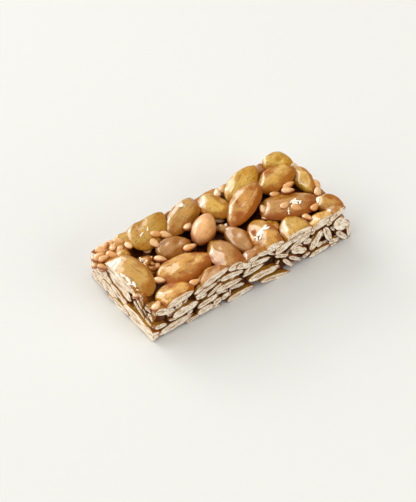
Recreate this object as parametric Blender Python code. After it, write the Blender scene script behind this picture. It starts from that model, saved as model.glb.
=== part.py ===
"""A pressed seed bar: whole pumpkin kernels on top, cut kernels at its sides, bound by syrup.

X runs along the bar, Y across it and Z up. The bar stands on z = 0, with the middle of its box
over the origin. The layout lists are in millimetres and degrees.
"""

import math
import random
from typing import NamedTuple

import bmesh
import bpy
from mathutils import Matrix, Vector

MM = 0.001

# Driving dimensions, in millimetres
LENGTH = 62.8
WIDTH = 28.2
CORE_LENGTH = 59.0
CORE_WIDTH = 24.8
CORE_HEIGHT = 8.3
CORE_CORNER = 0.6
CORE_LUMP = 0.45
BASE_GAP = 0.1
FRONT_CUT = -13.35
BACK_CUT = 13.35
LEFT_CUT = -30.2
RIGHT_CUT = 30.7
SECTION_DEPTH = 7.0
CUT_WANDER = 0.18
CORNER_REACH = 0.2
BACK_SPAN = 58
RIGHT_SPAN = 24
BACK_LAYERS = (1.4, 3.7, 6.0, 8.2)
RIGHT_LAYERS = (1.4, 3.8, 6.2)
KERNEL_SIDES = 8
KERNEL_RINGS = 4
SESAME_SIDES = 6
SESAME_RINGS = 3
SESAME_LENGTH = 3.6
SESAME_WIDTH = 2.1
SESAME_THICKNESS = 1.4
EGG_TAPER = 0.14
CREASE_ANGLE = 35
RANDOM_SEED = 41
WELD = 0.00001


class Kernel(NamedTuple):
    """A whole kernel: its centre, its size, and how it is turned about Z, Y and its own length."""

    x: float
    y: float
    z: float
    length: float
    width: float
    thickness: float
    heading: float = 0.0
    pitch: float = 0.0
    roll: float = 0.0


class Section(NamedTuple):
    """A kernel cut through its middle: where its cut face lies on the side, its size and its slope."""

    along: float
    height: float
    length: float
    thickness: float
    tilt: float = 0.0
    bulge: float = 0.0


class Grain(NamedTuple):
    """A sesame seed: its centre and heading."""

    x: float
    y: float
    z: float
    heading: float = 0.0


TOP_KERNELS = (
    Kernel(-27.8, 0.4, 9.6, 16.6, 9.2, 4.4, -85, 2, 10),
    Kernel(-15.0, -5.2, 9.5, 15.6, 9.3, 4.6, -3, 0, -6),
    Kernel(-22.7, -11.2, 9.7, 9.8, 8.2, 3.8, -8, 8, -8),
    Kernel(-5.3, -7.7, 10.2, 13.2, 7.7, 4.4, 80, -8, 4),
    Kernel(1.5, -5.0, 9.3, 11.0, 5.6, 3.2, 93, 0, -14),
    Kernel(6.9, -8.3, 10.2, 13.0, 8.0, 4.2, 78, -6, 0),
    Kernel(14.3, -11.4, 10.3, 10.2, 8.2, 4.0, 75, 0, 0),
    Kernel(21.8, -12.3, 10.2, 8.8, 6.4, 3.4, 8, 4, -18),
    Kernel(19.0, -3.0, 9.5, 16.4, 10.2, 4.8, -19, 0, -8),
    Kernel(28.0, 2.8, 9.2, 10.4, 4.8, 3.2, -102, 0, 24),
    Kernel(25.8, 11.3, 10.8, 7.6, 6.6, 3.6, -38, 0, 10),
    Kernel(22.1, 6.5, 10.3, 12.2, 7.3, 4.4, 6, 4, 8),
    Kernel(13.6, 9.8, 10.3, 13.8, 7.2, 3.8, 28, 6, 10),
    Kernel(9.4, 3.8, 10.4, 16.2, 7.2, 4.6, 212, -4, 0),
    Kernel(3.3, 7.8, 9.8, 9.8, 7.2, 4.4, -78, 0, 0),
    Kernel(-5.7, 9.5, 9.9, 13.6, 6.9, 4.0, 206, -6, -6),
    Kernel(-13.2, 2.9, 9.0, 9.2, 7.0, 3.8, -8, 0, 0),
    Kernel(-15.2, 10.8, 10.1, 13.6, 9.2, 4.4, 30, 4, 10),
    Kernel(-21.4, 12.2, 9.2, 8.4, 6.2, 3.2, 24, 0, 4),
    Kernel(-24.8, 7.8, 9.2, 3.8, 3.2, 2.4, -50, 0, 0),
    Kernel(27.4, -8.4, 9.6, 7.8, 5.8, 3.6, -62, 0, 8),
    Kernel(0.1, -11.7, 9.9, 6.2, 4.2, 2.6, 10, 4, -14),
    Kernel(11.4, -5.8, 8.9, 6.0, 3.8, 2.4, 70, 0, 0),
    Kernel(20.6, 12.2, 9.6, 5.4, 4.4, 3.4, 40, 0, 0),
    Kernel(-22.2, 0.6, 8.2, 6.4, 4.0, 2.6, 80, 6, 8),
    Kernel(-20.4, 3.8, 8.0, 5.4, 3.6, 2.2, -30, 0, -10),
    Kernel(1.3, 0.6, 8.7, 4.6, 3.0, 2.2, -60, 0, 0),
)

ROUND_NUT = Kernel(-3.9, 2.6, 10.1, 9.8, 6.2, 5.8, 38, 4, 0)

FRONT_SECTIONS = (
    Section(-27.0, 8.1, 6.2, 2.6, -25),
    Section(-21.3, 5.6, 7.6, 3.5, 5, 0.2),
    Section(-24.3, 1.9, 10.0, 2.9, 6, 0.1),
    Section(-28.6, 4.2, 3.6, 1.8, -14),
    Section(-19.0, 0.9, 4.4, 1.6, 4),
    Section(-12.3, 11.4, 8.2, 2.6, 12, 0.1),
    Section(-14.5, 9.8, 8.2, 2.0, 14),
    Section(-14.9, 8.4, 6.6, 1.8, 12, 0.2),
    Section(-16.3, 6.9, 3.4, 1.7, -8),
    Section(-12.4, 6.8, 5.0, 1.5, 28),
    Section(-14.5, 4.2, 6.2, 2.4, 10, 0.2),
    Section(-15.2, 1.9, 5.0, 2.6, 2, 0.1),
    Section(-11.5, 2.4, 2.8, 2.2, 8),
    Section(-3.5, 9.9, 4.8, 2.4, -20, 0.2),
    Section(-7.0, 8.5, 7.2, 2.2, -8),
    Section(-8.2, 6.2, 8.0, 2.4, -4, 0.2),
    Section(-10.1, 4.7, 4.2, 1.2, -18),
    Section(-5.5, 4.0, 4.8, 1.5, -12),
    Section(-4.6, 1.1, 8.2, 2.2, 3, 0.3),
    Section(3.6, 10.2, 5.8, 1.8, -10),
    Section(1.4, 8.2, 6.8, 2.0, -8, 0.1),
    Section(-0.4, 6.3, 6.6, 1.6, 6),
    Section(2.6, 3.9, 9.6, 3.0, -3, 0.4),
    Section(6.0, 0.9, 9.6, 2.0, -12, 0.75),
    Section(9.0, 9.0, 6.0, 2.7, 14, 0.1),
    Section(8.4, 6.4, 4.8, 1.5, -26),
    Section(10.4, 2.8, 5.4, 1.4, -52, 0.2),
    Section(12.8, 2.9, 5.6, 1.3, -40),
    Section(13.8, 5.3, 5.6, 2.8, -32, 0.2),
    Section(14.2, 8.2, 7.2, 1.8, 18, 0.2),
    Section(16.7, 6.5, 2.8, 2.0, -20),
    Section(19.4, 5.4, 6.2, 3.1, 58, 0.2),
    Section(23.1, 5.4, 6.4, 2.3, -68, 0.2),
    Section(27.1, 6.9, 5.8, 4.2, -50, 0.2),
    Section(25.8, 11.0, 5.2, 2.6, 24, 0.1),
    Section(20.5, 1.1, 6.8, 1.9, 4, 0.1),
    Section(28.0, 2.2, 6.0, 1.8, -50, 0.1),
    Section(30.0, 3.4, 5.8, 1.6, -82),
)

LEFT_SECTIONS = (
    Section(-1.4, 6.7, 9.8, 5.2, -15, 0.1),
    Section(-0.9, 3.9, 8.2, 3.2, -14, 0.4),
    Section(-5.4, 2.6, 7.6, 3.6, -8, 0.6),
    Section(0.0, 1.2, 7.2, 2.8, 0, 0.9),
    Section(8.2, 2.1, 14.4, 5.2, -3, 0.8),
    Section(-10.2, 1.5, 7.6, 3.4, 2, 0.4),
    Section(-10.0, 4.1, 7.6, 3.0, -4, 0.2),
    Section(-9.8, 6.6, 7.4, 3.2, 4, 0.3),
    Section(-6.2, 5.4, 4.6, 2.8, -24, 0.5),
    Section(8.4, 6.8, 6.6, 1.9, -22, -0.5),
    Section(9.8, 4.6, 6.4, 1.8, -14, -0.1),
    Section(6.2, 8.5, 5.4, 1.9, -30, -0.7),
    Section(11.2, 8.6, 4.2, 1.8, -8, -0.3),
)

TOP_GRAINS = (
    Grain(-28.3, 12.2, 9.5, -40),
    Grain(-25.7, 11.2, 9.7, 70),
    Grain(-23.5, 11.6, 10.2, -50),
    Grain(-22.2, 9.6, 9.8, 84),
    Grain(-29.3, 9.6, 9.2, -14),
    Grain(-30.6, 12.0, 8.3, 60),
    Grain(-30.5, 9.0, 7.8, 80),
    Grain(-30.5, 10.8, 6.6, -70),
    Grain(-15.0, 7.4, 11.0, -30),
    Grain(-12.8, 6.4, 10.3, -38),
    Grain(-16.8, 5.7, 10.2, -80),
    Grain(-18.4, 0.8, 9.6, -50),
    Grain(-10.4, -0.4, 10.0, -10),
    Grain(-6.5, 5.8, 10.2, 42),
    Grain(-16.7, -11.2, 10.3, -16),
    Grain(-28.2, -11.3, 9.3, 36),
    Grain(-23.0, -5.2, 9.8, -50),
    Grain(-30.0, -5.4, 9.4, 62),
    Grain(9.0, 12.0, 9.9, 36),
    Grain(7.2, 12.0, 9.4, 60),
    Grain(12.4, -0.4, 10.2, 72),
    Grain(22.9, 2.7, 10.4, -4),
    Grain(18.4, 2.4, 9.9, 0),
    Grain(21.6, 1.2, 10.4, -30),
    Grain(16.8, -3.7, 11.6, 14),
    Grain(18.7, -6.0, 11.4, -52),
    Grain(23.0, -8.0, 10.8, 20),
    Grain(27.9, -3.0, 9.8, 52),
    Grain(19.2, -9.8, 10.6, -80),
    Grain(29.6, -0.6, 9.2, -104),
    Grain(11.9, -2.9, 9.4, -50),
    Grain(29.6, 9.0, 8.8, 70),
)


def clear_scene():
    """Removes every object that the file starts with."""
    for thing in list(bpy.data.objects):
        bpy.data.objects.remove(thing, do_unlink=True)


def collection(name):
    """A new collection in the scene."""
    made = bpy.data.collections.new(name)
    bpy.context.scene.collection.children.link(made)
    return made


def syrup_material():
    """Glossy amber syrup over toasted kernels."""
    material = bpy.data.materials.new("glazed_seeds")
    material.use_nodes = True
    shader = material.node_tree.nodes["Principled BSDF"]
    shader.inputs["Base Color"].default_value = (0.42, 0.22, 0.07, 1)
    shader.inputs["Roughness"].default_value = 0.3
    shader.inputs["Metallic"].default_value = 0.0
    return material


def turned(heading, pitch, roll):
    """Turns about Z by heading, tips the nose up by pitch, and rolls about the length."""
    about_z = Matrix.Rotation(math.radians(heading), 4, "Z")
    about_y = Matrix.Rotation(math.radians(-pitch), 4, "Y")
    about_x = Matrix.Rotation(math.radians(roll), 4, "X")
    return about_z @ about_y @ about_x


def egg(sides, rings):
    """A unit egg with its poles on X and a narrower nose at +X."""
    shape = bmesh.new()
    bmesh.ops.create_uvsphere(shape, u_segments=sides, v_segments=rings, radius=1)
    quarter_turn = Matrix.Rotation(math.radians(90), 3, "Y")
    bmesh.ops.rotate(shape, verts=shape.verts, cent=(0, 0, 0), matrix=quarter_turn)
    for vertex in shape.verts:
        taper = 1 - EGG_TAPER * vertex.co.x
        vertex.co.y *= taper
        vertex.co.z *= taper
    return shape


def trim(shape, point, outward):
    """Cuts away what lies beyond a plane and closes the cut."""
    everything = shape.verts[:] + shape.edges[:] + shape.faces[:]
    cut = bmesh.ops.bisect_plane(
        shape,
        geom=everything,
        dist=WELD,
        plane_co=point,
        plane_no=outward,
        clear_outer=True,
    )
    rim = [part for part in cut["geom_cut"] if isinstance(part, bmesh.types.BMEdge)]
    if rim:
        bmesh.ops.edgeloop_fill(shape, edges=rim)


def seed_object(name, shape, matrix, planes, target):
    """Places a unit shape, trims it at the planes, and links it as a mesh object."""
    bmesh.ops.transform(shape, matrix=matrix, verts=shape.verts)
    for point, outward in planes:
        trim(shape, Vector(point) * MM, Vector(outward))
    bmesh.ops.triangulate(shape, faces=shape.faces)
    bmesh.ops.recalc_face_normals(shape, faces=shape.faces)
    mesh = bpy.data.meshes.new(name)
    shape.to_mesh(mesh)
    shape.free()
    if len(mesh.vertices) < 4:
        return None
    made = bpy.data.objects.new(name, mesh)
    target.objects.link(made)
    return made


def placing(centre, size, turn):
    """The matrix that takes a unit egg to its size, turn and place."""
    half = Matrix.Diagonal((size[0] / 2 * MM, size[1] / 2 * MM, size[2] / 2 * MM, 1))
    return Matrix.Translation(Vector(centre) * MM) @ turn @ half


def side_planes():
    """The four cut sides and the base, each as a point and an outward direction."""
    return [
        ((0, -WIDTH / 2, 0), (0, -1, 0)),
        ((0, WIDTH / 2, 0), (0, 1, 0)),
        ((-LENGTH / 2, 0, 0), (-1, 0, 0)),
        ((LENGTH / 2, 0, 0), (1, 0, 0)),
        ((0, 0, BASE_GAP), (0, 0, -1)),
    ]


def cut_planes(wander):
    """The saw cuts that end whole kernels at the front, back and left, each a little off."""
    return [
        ((0, FRONT_CUT + wander, 0), (0, -1, 0)),
        ((0, BACK_CUT + wander, 0), (0, 1, 0)),
        ((LEFT_CUT + wander, 0, 0), (-1, 0, 0)),
    ]


def corner_planes(wander):
    """The planes that keep the kernels of one side from passing the side next to it."""
    return [
        ((0, FRONT_CUT - CORNER_REACH + wander, 0), (0, -1, 0)),
        ((0, BACK_CUT + CORNER_REACH + wander, 0), (0, 1, 0)),
    ]


def add_kernels(rows, target, draw):
    """Whole kernels on top, ended by the saw cuts where they reach them."""
    for number, row in enumerate(rows):
        size = (row.length, row.width, row.thickness)
        turn = turned(row.heading, row.pitch, row.roll)
        matrix = placing((row.x, row.y, row.z), size, turn)
        wander = draw.uniform(-CUT_WANDER, CUT_WANDER)
        planes = cut_planes(wander) + side_planes()
        shape = egg(KERNEL_SIDES, KERNEL_RINGS)
        seed_object(f"kernel_{number}", shape, matrix, planes, target)


def add_sections(label, rows, side_turn, cut, target, draw):
    """Half kernels whose cut faces lie on one side. side_turn takes the front to that side."""
    for number, row in enumerate(rows):
        wander = draw.uniform(-CUT_WANDER, CUT_WANDER)
        reach = cut + row.bulge + wander
        local = Matrix.Translation(Vector((row.along, -reach, row.height)) * MM)
        half = Matrix.Diagonal(
            (row.length / 2 * MM, SECTION_DEPTH / 2 * MM, row.thickness / 2 * MM, 1)
        )
        matrix = side_turn @ local @ turned(0, row.tilt, 0) @ half
        face = side_turn @ Vector((0, -reach, 0))
        outward = side_turn @ Vector((0, -1, 0))
        planes = [(face, outward)] + side_planes()
        if abs(outward.x) > 0.5:
            planes += corner_planes(wander)
        shape = egg(KERNEL_SIDES, KERNEL_RINGS)
        seed_object(f"{label}_{number}", shape, matrix, planes, target)


def drawn_sections(span, layers, draw):
    """Cut faces in layers along a side that is out of view, by rule."""
    rows = []
    for layer in layers:
        along = -span / 2 + draw.uniform(0, 2.5)
        while along < span / 2 - 3:
            length = min(draw.uniform(5.4, 9.6), span / 2 + 1 - along)
            thickness = draw.uniform(2.0, 2.9)
            tilt = draw.uniform(-12, 12)
            height = layer + draw.uniform(-0.3, 0.3)
            bulge = draw.uniform(0, 0.7)
            rows.append(
                Section(along + length / 2, height, length, thickness, tilt, bulge)
            )
            along += length + draw.uniform(-0.2, 0.8)
    return rows


def add_grains(rows, target):
    """Sesame seeds lying on and between the kernels."""
    size = (SESAME_LENGTH, SESAME_WIDTH, SESAME_THICKNESS)
    for number, row in enumerate(rows):
        matrix = placing((row.x, row.y, row.z), size, turned(row.heading, 0, 0))
        shape = egg(SESAME_SIDES, SESAME_RINGS)
        seed_object(f"sesame_{number}", shape, matrix, side_planes(), target)


def syrup_core():
    """The bound inside of the bar: a block with a flat base and a lumpy top and sides."""
    shape = bmesh.new()
    bmesh.ops.create_cube(shape, size=1)
    bmesh.ops.subdivide_edges(shape, edges=shape.edges, cuts=5, use_grid_fill=True)
    for vertex in shape.verts:
        place = vertex.co
        x = place.x * CORE_LENGTH
        y = place.y * CORE_WIDTH
        z = (place.z + 0.5) * CORE_HEIGHT
        lump = CORE_LUMP * math.sin(0.55 * x + 0.8) * math.sin(0.7 * y + 0.4)
        corner = abs(2 * place.x * 2 * place.y)
        x -= math.copysign(CORE_CORNER, x) * corner if abs(place.x) > 0.49 else 0
        if z > 0.01:
            z += lump * z / CORE_HEIGHT
        vertex.co = Vector((x, y, z)) * MM
    bmesh.ops.triangulate(shape, faces=shape.faces)
    mesh = bpy.data.meshes.new("seed_bar")
    shape.to_mesh(mesh)
    shape.free()
    return bpy.data.objects.new("seed_bar", mesh)


def fuse(core, pieces):
    """Joins every piece to the core with one union, and removes the pieces."""
    union = core.modifiers.new("union", "BOOLEAN")
    union.operation = "UNION"
    union.solver = "EXACT"
    union.operand_type = "COLLECTION"
    union.collection = pieces
    bpy.context.view_layer.update()
    graph = bpy.context.evaluated_depsgraph_get()
    fused = bpy.data.meshes.new_from_object(core.evaluated_get(graph))
    core.modifiers.clear()
    core.data = fused
    for thing in list(pieces.objects):
        bpy.data.objects.remove(thing, do_unlink=True)
    bpy.data.collections.remove(pieces)


def islands(shape):
    """The separate shells of a mesh, each a list of faces."""
    shape.faces.ensure_lookup_table()
    left = set(shape.faces)
    found = []
    while left:
        start = left.pop()
        group = [start]
        queue = [start]
        while queue:
            face = queue.pop()
            for edge in face.edges:
                for other in edge.link_faces:
                    if other in left:
                        left.remove(other)
                        group.append(other)
                        queue.append(other)
        found.append(group)
    return found


def keep_outer_shell(core):
    """Merges doubled points, and drops loose scraps and sealed hollows."""
    shape = bmesh.new()
    shape.from_mesh(core.data)
    bmesh.ops.remove_doubles(shape, verts=shape.verts, dist=WELD)
    bmesh.ops.dissolve_degenerate(shape, edges=shape.edges, dist=WELD)
    shells = sorted(islands(shape), key=len)
    for group in shells[:-1]:
        bmesh.ops.delete(shape, geom=group, context="FACES")
    bmesh.ops.triangulate(shape, faces=shape.faces)
    shape.to_mesh(core.data)
    shape.free()


def main():
    clear_scene()
    bar = collection("seed_bar_parts")
    pieces = collection("loose_seeds")
    draw = random.Random(RANDOM_SEED)
    front = Matrix.Identity(4)
    left = Matrix.Rotation(math.radians(-90), 4, "Z")
    right = Matrix.Rotation(math.radians(90), 4, "Z")
    back = Matrix.Rotation(math.radians(180), 4, "Z")
    add_kernels(TOP_KERNELS + (ROUND_NUT,), pieces, draw)
    add_sections("front", FRONT_SECTIONS, front, -FRONT_CUT, pieces, draw)
    add_sections("left", LEFT_SECTIONS, left, -LEFT_CUT, pieces, draw)
    back_rows = drawn_sections(BACK_SPAN, BACK_LAYERS, draw)
    add_sections("back", back_rows, back, BACK_CUT, pieces, draw)
    right_rows = drawn_sections(RIGHT_SPAN, RIGHT_LAYERS, draw)
    add_sections("right", right_rows, right, RIGHT_CUT, pieces, draw)
    add_grains(TOP_GRAINS, pieces)
    core = syrup_core()
    bar.objects.link(core)
    fuse(core, pieces)
    keep_outer_shell(core)
    core.data.materials.clear()
    core.data.materials.append(syrup_material())
    core.data.shade_smooth()
    core.data.set_sharp_from_angle(angle=math.radians(CREASE_ANGLE))


main()
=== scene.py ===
"""Finishes a pressed seed bar: glazed pumpkin kernels, cut kernels, sesame and syrup.

The layout lists and the side rule are the same as in the bar's solid, in millimetres and degrees.
"""

import math
import random
from typing import NamedTuple

import bpy
import numpy as np
from mathutils import Matrix, Vector, noise


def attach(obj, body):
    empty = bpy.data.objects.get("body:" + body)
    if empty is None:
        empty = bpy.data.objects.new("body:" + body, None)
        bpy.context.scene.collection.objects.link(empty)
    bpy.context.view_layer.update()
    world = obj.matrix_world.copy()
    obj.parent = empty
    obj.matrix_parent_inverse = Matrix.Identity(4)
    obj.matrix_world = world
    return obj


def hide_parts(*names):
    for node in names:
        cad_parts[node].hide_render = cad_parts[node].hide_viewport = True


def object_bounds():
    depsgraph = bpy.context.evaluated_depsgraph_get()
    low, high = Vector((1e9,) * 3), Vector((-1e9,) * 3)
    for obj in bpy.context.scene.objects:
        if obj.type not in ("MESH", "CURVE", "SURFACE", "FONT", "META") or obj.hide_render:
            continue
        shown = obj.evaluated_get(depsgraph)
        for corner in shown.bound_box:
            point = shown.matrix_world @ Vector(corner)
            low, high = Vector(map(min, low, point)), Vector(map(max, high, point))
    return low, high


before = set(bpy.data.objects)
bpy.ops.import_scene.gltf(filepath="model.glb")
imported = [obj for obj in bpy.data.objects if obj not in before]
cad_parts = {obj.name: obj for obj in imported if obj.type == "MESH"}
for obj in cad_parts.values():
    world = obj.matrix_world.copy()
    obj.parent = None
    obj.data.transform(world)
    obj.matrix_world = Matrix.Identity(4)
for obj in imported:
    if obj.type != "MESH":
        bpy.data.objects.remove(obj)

CAD_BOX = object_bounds()
NODE = "seed_bar"
MM = 0.001

bl_info = {
    "name": "Seed bar",
    "version": (1, 0, 0),
    "blender": (4, 5, 0),
    "location": "3D View > Sidebar > Seed bar",
    "description": "Builds a pressed seed bar with glazed kernels, cut sides and a studio floor",
    "category": "Object",
}

# The bar's own measures, in millimetres
FRONT_CUT = -13.35
BACK_CUT = 13.35
LEFT_CUT = -30.2
RIGHT_CUT = 30.7
REACH_X = (CAD_BOX[1].x - CAD_BOX[0].x) / 2 / MM
REACH_Y = (CAD_BOX[1].y - CAD_BOX[0].y) / 2 / MM
SECTION_DEPTH = 7.0
CUT_WANDER = 0.18
CORNER_REACH = 0.2
BACK_SPAN = 58
RIGHT_SPAN = 24
BACK_LAYERS = (1.4, 3.7, 6.0, 8.2)
RIGHT_LAYERS = (1.4, 3.8, 6.2)
RANDOM_SEED = 41

# How finely a kernel and a sesame seed are modelled, and how much they narrow to the nose
KERNEL_SIDES = 36
KERNEL_RINGS = 26
KERNEL_TAPER = -0.28
SESAME_SIDES = 14
SESAME_RINGS = 9
SESAME_TAPER = -0.75

# Flats that pressing left on the kernels: how many, how deep, and the slope that all share
FACETS = 7
FACET_CUTS = (0.84, 0.96)
PRESSED_SLOPE = (-0.47, 0.30, 0.83)
# Colour of the painted sheen: a painted highlight on the slopes that face PRESSED_SLOPE, toward the key
# light
PAINTED_SHEEN_COLOUR = (0.8, 0.63, 0.42)
# Lean of the painted shade: slopes turned to the front and right, away from the key light, take the thick
# glaze colour higher up
SHADE_LEAN = (-0.36, 0.30, 0.0)

# Skins: the heights where the syrup colour, which is also painted shade in the gaps, starts and ends, the
# gloss and the share of painted sheen, a painted highlight on slopes turned toward the key light
GLAZED = ("Glazed skin", 6.6, 8.9, 0.95, 0.28)
TOASTED = ("Toasted skin", -4.0, -2.0, 0.3, 0.0)

# Syrup: its core block, its voxel size and how far it shrinks from the seeds
SYRUP_HALF = (29.4, 12.5, 3.8)
SYRUP_VOXEL = 0.42
SYRUP_SHRINK = 0.4
SYRUP_LOWEST = 0.2
SYRUP_SOURCES = (
    "top_kernels", "front_cut_kernels", "left_cut_kernels", "back_cut_kernels",
    "right_cut_kernels", "sesame_seeds", "round_nut",
)
POINT_VALUES = ("own", "seed", "amber", "dark", "rim", "middle", "out")

# Camera, sky and lights. The last value of a light says whether it shows in reflections
LENS = 135.0
SENSOR = 36.0
CAMERA_RIGHT = -3.67
CAMERA_UP = 1.65
SKY_BRIGHT = (-0.5, 0.7, 0.5)
SKY_SPAN = (-0.5, 1.0)
SKY_RANGE = (0.03, 0.9)
LIGHTS = (
    ("key light", (-0.26, 0.78, 0.44), (1.25, 0.65), 6.5, True),
    ("glint light", (-0.12, 0.90, 0.36), (0.30, 0.16), 1.6, True),
    ("fill light", (0.35, -0.75, 0.34), (0.9, 0.6), 5.3, False),
    ("left light", (-0.90, -0.10, 0.22), (0.5, 0.8), 2.6, False),
    ("top light", (0.20, -0.10, 1.0), (1.0, 1.0), 2.8, False),
)

# Directions out of the four sides
FRONT = (0, -1, 0)
BACK = (0, 1, 0)
LEFT = (-1, 0, 0)
RIGHT = (1, 0, 0)

# Saw cuts of each group: a point, the way out, how deep the cut focuses, and how much it wanders
END_STOPS = (((-REACH_X, 0, 0), LEFT, 1.0, 0.0), ((REACH_X, 0, 0), RIGHT, 1.0, 0.0))
CORNER_STOPS = (
    ((0, FRONT_CUT - CORNER_REACH, 0), FRONT, 1.0, 0.0),
    ((0, BACK_CUT + CORNER_REACH, 0), BACK, 1.0, 0.0),
)
CUTS = {
    "top": (
        ((0, FRONT_CUT, 0), FRONT, 1.0, 1.0),
        ((0, BACK_CUT, 0), BACK, 1.0, -1.0),
        ((LEFT_CUT, 0, 0), LEFT, 1.0, 1.0),
        END_STOPS[1],
    ),
    "front": (((0, FRONT_CUT, 0), FRONT, 5.0, 1.0), *END_STOPS),
    "left": (((LEFT_CUT, 0, 0), LEFT, 5.0, 1.0), *CORNER_STOPS),
    "back": (((0, BACK_CUT, 0), BACK, 5.0, 1.0), *END_STOPS, ((0, REACH_Y, 0), BACK, 1.0, 0.0)),
    "right": (((RIGHT_CUT, 0, 0), RIGHT, 5.0, 1.0), *CORNER_STOPS, END_STOPS[1]),
}


class Kernel(NamedTuple):
    """A whole kernel: centre, size, turns about Z, Y and its length, then olive to amber, and how dark."""

    x: float
    y: float
    z: float
    length: float
    width: float
    thickness: float
    heading: float = 0.0
    pitch: float = 0.0
    roll: float = 0.0
    amber: float = 0.5
    dark: float = 0.2


class Section(NamedTuple):
    """A kernel cut through its middle: where its cut face lies on the side, its size and its slope."""

    along: float
    height: float
    length: float
    thickness: float
    tilt: float = 0.0
    bulge: float = 0.0


class Grain(NamedTuple):
    """A sesame seed: its centre and heading."""

    x: float
    y: float
    z: float
    heading: float = 0.0


def rows_of(kind, rows):
    return tuple(kind(*row) for row in rows)


# Where each seed that the photo shows lies: on top, in the front side and in the left end
TOP_KERNELS = rows_of(Kernel, (
    (-27.8, 0.4, 9.6, 16.6, 9.2, 4.4, -85, 2, 10, 0.3, 0.36),
    (-15.0, -5.2, 9.5, 15.6, 9.3, 4.6, -3, 0, -6, 0.8, 0.12),
    (-22.7, -11.2, 9.7, 9.8, 8.2, 3.8, -8, 8, -8, 0.85, 0.1),
    (-5.3, -7.7, 10.2, 13.2, 7.7, 4.4, 80, -8, 4, 0.7, 0.6),
    (1.5, -5.0, 9.3, 11.0, 5.6, 3.2, 93, 0, -14, 0.6, 0.7),
    (6.9, -8.3, 10.2, 13.0, 8.0, 4.2, 78, -6, 0, 0.75, 0.22),
    (14.3, -11.4, 10.3, 10.2, 8.2, 4.0, 75, 0, 0, 0.3, 0.2),
    (21.8, -12.3, 10.2, 8.8, 6.4, 3.4, 8, 4, -18, 0.8, 0.0),
    (19.0, -3.0, 9.5, 16.4, 10.2, 4.8, -19, 0, -8, 0.65, 0.58),
    (28.0, 2.8, 9.2, 10.4, 4.8, 3.2, -102, 0, 24, 0.4, 0.0),
    (25.8, 11.3, 10.8, 7.6, 6.6, 3.6, -38, 0, 10, 0.05, 0.0),
    (22.1, 6.5, 10.3, 12.2, 7.3, 4.4, 6, 4, 8, 0.5, 0.1),
    (13.6, 9.8, 10.3, 13.8, 7.2, 3.8, 28, 6, 10, 0.15, 0.0),
    (9.4, 3.8, 10.4, 16.2, 7.2, 4.6, 212, -4, 0, 1.0, 0.35),
    (3.3, 7.8, 9.8, 9.8, 7.2, 4.4, -78, 0, 0, 0.35, 0.0),
    (-5.7, 9.5, 9.9, 13.6, 6.9, 4.0, 206, -6, -6, 0.35, 0.47),
    (-13.2, 2.9, 9.0, 9.2, 7.0, 3.8, -8, 0, 0, 0.35, 0.75),
    (-15.2, 10.8, 10.1, 13.6, 9.2, 4.4, 30, 4, 10, 0.1, 0.28),
    (-21.4, 12.2, 9.2, 8.4, 6.2, 3.2, 24, 0, 4, 0.2, 0.15),
    (-24.8, 7.8, 9.2, 3.8, 3.2, 2.4, -50, 0, 0, 0.4, 0.15),
    (27.4, -8.4, 9.6, 7.8, 5.8, 3.6, -62, 0, 8, 0.45, 0.3),
    (0.1, -11.7, 9.9, 6.2, 4.2, 2.6, 10, 4, -14, 0.8, 0.75),
    (11.4, -5.8, 8.9, 6.0, 3.8, 2.4, 70, 0, 0, 0.7, 0.4),
    (20.6, 12.2, 9.6, 5.4, 4.4, 3.4, 40, 0, 0, 0.9, 0.9),
    (-22.2, 0.6, 8.2, 6.4, 4.0, 2.6, 80, 6, 8, 0.9, 0.75),
    (-20.4, 3.8, 8.0, 5.4, 3.6, 2.2, -30, 0, -10, 0.9, 0.55),
    (1.3, 0.6, 8.7, 4.6, 3.0, 2.2, -60, 0, 0, 0.8, 0.5),
))

ROUND_NUT = Kernel(-3.9, 2.6, 10.1, 9.8, 6.2, 5.8, 38, 4, 0)

FRONT_SECTIONS = rows_of(Section, (
    (-27.0, 8.1, 6.2, 2.6, -25), (-21.3, 5.6, 7.6, 3.5, 5, 0.2), (-24.3, 1.9, 10.0, 2.9, 6, 0.1),
    (-28.6, 4.2, 3.6, 1.8, -14), (-19.0, 0.9, 4.4, 1.6, 4), (-12.3, 11.4, 8.2, 2.6, 12, 0.1),
    (-14.5, 9.8, 8.2, 2.0, 14), (-14.9, 8.4, 6.6, 1.8, 12, 0.2), (-16.3, 6.9, 3.4, 1.7, -8),
    (-12.4, 6.8, 5.0, 1.5, 28), (-14.5, 4.2, 6.2, 2.4, 10, 0.2), (-15.2, 1.9, 5.0, 2.6, 2, 0.1),
    (-11.5, 2.4, 2.8, 2.2, 8), (-3.5, 9.9, 4.8, 2.4, -20, 0.2), (-7.0, 8.5, 7.2, 2.2, -8),
    (-8.2, 6.2, 8.0, 2.4, -4, 0.2), (-10.1, 4.7, 4.2, 1.2, -18), (-5.5, 4.0, 4.8, 1.5, -12),
    (-4.6, 1.1, 8.2, 2.2, 3, 0.3), (3.6, 10.2, 5.8, 1.8, -10), (1.4, 8.2, 6.8, 2.0, -8, 0.1),
    (-0.4, 6.3, 6.6, 1.6, 6), (2.6, 3.9, 9.6, 3.0, -3, 0.4), (6.0, 0.9, 9.6, 2.0, -12, 0.75),
    (9.0, 9.0, 6.0, 2.7, 14, 0.1), (8.4, 6.4, 4.8, 1.5, -26), (10.4, 2.8, 5.4, 1.4, -52, 0.2),
    (12.8, 2.9, 5.6, 1.3, -40), (13.8, 5.3, 5.6, 2.8, -32, 0.2), (14.2, 8.2, 7.2, 1.8, 18, 0.2),
    (16.7, 6.5, 2.8, 2.0, -20), (19.4, 5.4, 6.2, 3.1, 58, 0.2), (23.1, 5.4, 6.4, 2.3, -68, 0.2),
    (27.1, 6.9, 5.8, 4.2, -50, 0.2), (25.8, 11.0, 5.2, 2.6, 24, 0.1), (20.5, 1.1, 6.8, 1.9, 4, 0.1),
    (28.0, 2.2, 6.0, 1.8, -50, 0.1), (30.0, 3.4, 5.8, 1.6, -82),
))

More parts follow.
